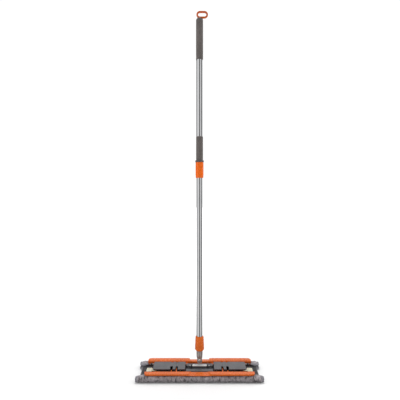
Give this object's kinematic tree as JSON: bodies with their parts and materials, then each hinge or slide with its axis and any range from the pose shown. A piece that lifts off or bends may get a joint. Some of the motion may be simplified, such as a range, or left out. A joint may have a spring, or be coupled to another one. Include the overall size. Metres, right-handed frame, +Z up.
{
  "type": "flat mop",
  "caption": "Flat floor mop: telescopic steel pole on a two-axis joint, foot-pedal clamp jaws and a wrapped chenille cloth.",
  "frame": {"origin": "on the floor under the middle of the head", "axes": "+Z up along the pole, X along the head's length, -Y towards the front"},
  "size_m": [0.425, 0.138, 1.248],
  "materials": {
    "fabric": "chenille microfibre pile",
    "orange_plastic": "satin moulded",
    "grey_plastic": "fine moulded grain",
    "black_plastic": "matt moulded",
    "cream_plastic": "natural moulded",
    "grip_rubber": "soft-touch, textured bands",
    "nylon": "natural moulded",
    "steel": "polished tube",
    "zinc": "bright plated"
  },
  "bodies": {
    "head": {"mop_cloth": "fabric", "base_plate": "black_plastic", "centre_hub": "grey_plastic", "hinge_cradle": "black_plastic", "front_hinge_rod": "steel", "back_hinge_rod": "steel", "right_stop_block": "cream_plastic", "left_stop_block": "cream_plastic", "barrel_axle": "steel", "left_axle_clip": "steel", "right_axle_clip": "steel", "hub_screw_1": "zinc", "hub_screw_2": "zinc", "hub_screw_3": "zinc", "hub_screw_4": "zinc", "cradle_screw_1": "zinc", "cradle_screw_2": "zinc", "stop_screw_1": "zinc", "stop_screw_2": "zinc", "stop_screw_3": "zinc", "stop_screw_4": "zinc", "left_inner_spring": "steel", "left_outer_spring": "steel", "right_inner_spring": "steel", "right_outer_spring": "steel"},
    "tee": {"joint_tee": "zinc", "front_fork_washer": "nylon", "back_fork_washer": "nylon"},
    "pole": {"swivel_fork": "steel", "fork_rivet": "steel", "pole_socket": "orange_plastic", "thread_insert": "nylon", "lower_tube": "steel", "guide_bush": "nylon"},
    "upper_pole": {"upper_tube": "steel", "lock_body": "grey_plastic", "clamp_collet": "nylon", "middle_grip": "grip_rubber", "upper_grip": "grip_rubber", "grip_cap": "grip_rubber"},
    "nut": {"lock_nut": "orange_plastic"},
    "ring": {"hang_loop": "orange_plastic", "loop_screw": "zinc"},
    "left_press": {"left_pedal": "grey_plastic", "left_pedal_front_pin": "steel", "left_pedal_back_pin": "steel"},
    "right_press": {"right_pedal": "grey_plastic", "right_pedal_front_pin": "steel", "right_pedal_back_pin": "steel"},
    "back_clamp": {"back_jaw": "orange_plastic"},
    "front_clamp": {"front_jaw": "orange_plastic"}
  },
  "joints": [
    {"name": "pole_pitch", "type": "hinge", "parent": "head", "child": "tee", "pos_m": [0, 0, 0.028], "axis": [1, 0, 0], "range_deg": [-65, 65]},
    {"name": "pole_roll", "type": "hinge", "parent": "tee", "child": "pole", "pos_m": [0, 0, 0.05], "axis": [0, 1, 0], "range_deg": [-70, 70]},
    {"name": "pole_telescope", "type": "slide", "parent": "pole", "child": "upper_pole", "axis": [0, 0, 1], "range_m": [-0.41, 0]},
    {"name": "lock_twist", "type": "hinge", "parent": "upper_pole", "child": "nut", "pos_m": [0, 0, 0.7], "axis": [0, 0, 1], "range_deg": [0, 90]},
    {"name": "ring_swivel", "type": "hinge", "parent": "upper_pole", "child": "ring", "pos_m": [0, 0, 1.22], "axis": [0, 0, 1], "continuous": true},
    {"name": "left_pedal_press", "type": "slide", "parent": "head", "child": "left_press", "axis": [0, 0, 1], "range_m": [-0.006, 0], "stiffness_N_per_m": 4000, "springref_m": 0.004, "deforming": ["left_inner_spring", "left_outer_spring"]},
    {"name": "right_pedal_press", "type": "slide", "parent": "head", "child": "right_press", "axis": [0, 0, 1], "range_m": [-0.006, 0], "stiffness_N_per_m": 4000, "springref_m": 0.004, "deforming": ["right_inner_spring", "right_outer_spring"]},
    {"name": "back_jaw_open", "type": "hinge", "parent": "head", "child": "back_clamp", "pos_m": [0, 0.037, 0.0185], "axis": [1, 0, 0], "range_deg": [0, 11.2]},
    {"name": "front_jaw_open", "type": "hinge", "parent": "head", "child": "front_clamp", "pos_m": [0, -0.037, 0.0185], "axis": [-1, 0, 0], "range_deg": [0, 11.2]}
  ],
  "couplings": [
    {"joint": "right_pedal_press", "follows": "left_pedal_press", "ratio": 1},
    {"joint": "back_jaw_open", "follows": "left_pedal_press", "rad_per_m": -32},
    {"joint": "front_jaw_open", "follows": "left_pedal_press", "rad_per_m": -32}
  ]
}
